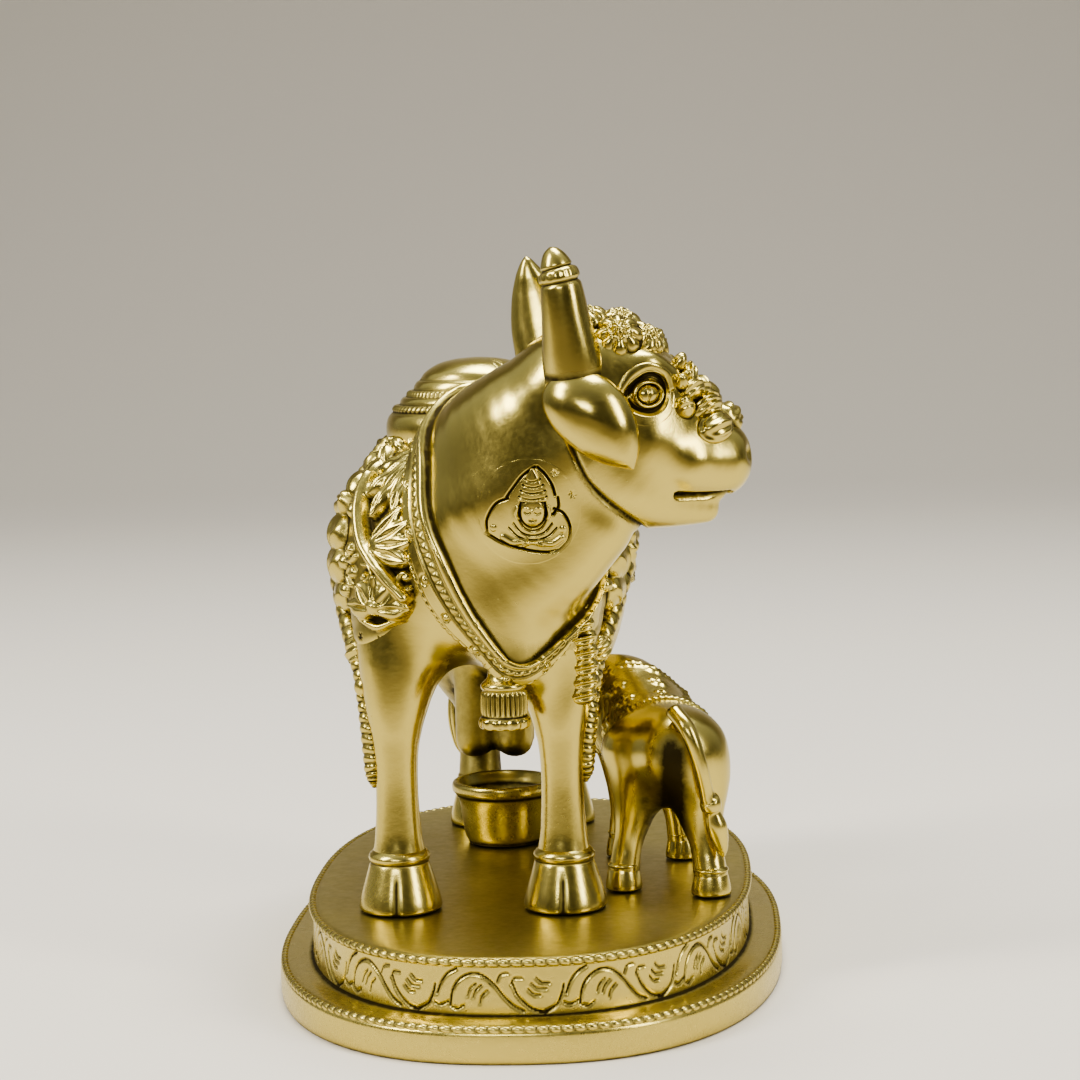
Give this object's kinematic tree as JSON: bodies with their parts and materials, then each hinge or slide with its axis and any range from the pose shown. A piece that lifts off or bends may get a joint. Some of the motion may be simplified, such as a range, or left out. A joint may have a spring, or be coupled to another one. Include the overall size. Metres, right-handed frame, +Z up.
{
  "type": "nandi calf idol",
  "caption": "Cast brass idol of an adorned standing cow with turned head, a suckling calf and a milk pot on a stepped oval plinth.",
  "frame": {"origin": "middle of the plinth's underside", "axes": "+Z up, the cow's body faces -Y and her head turns towards +X, her left"},
  "size_m": [0.1142, 0.1758, 0.1629],
  "materials": {
    "brass": "satin polished brass with dark patina left in the recesses"
  },
  "bodies": {
    "root": {"plinth": "brass", "cow": "brass", "calf": "brass", "milk_pot": "brass"}
  },
  "joints": []
}
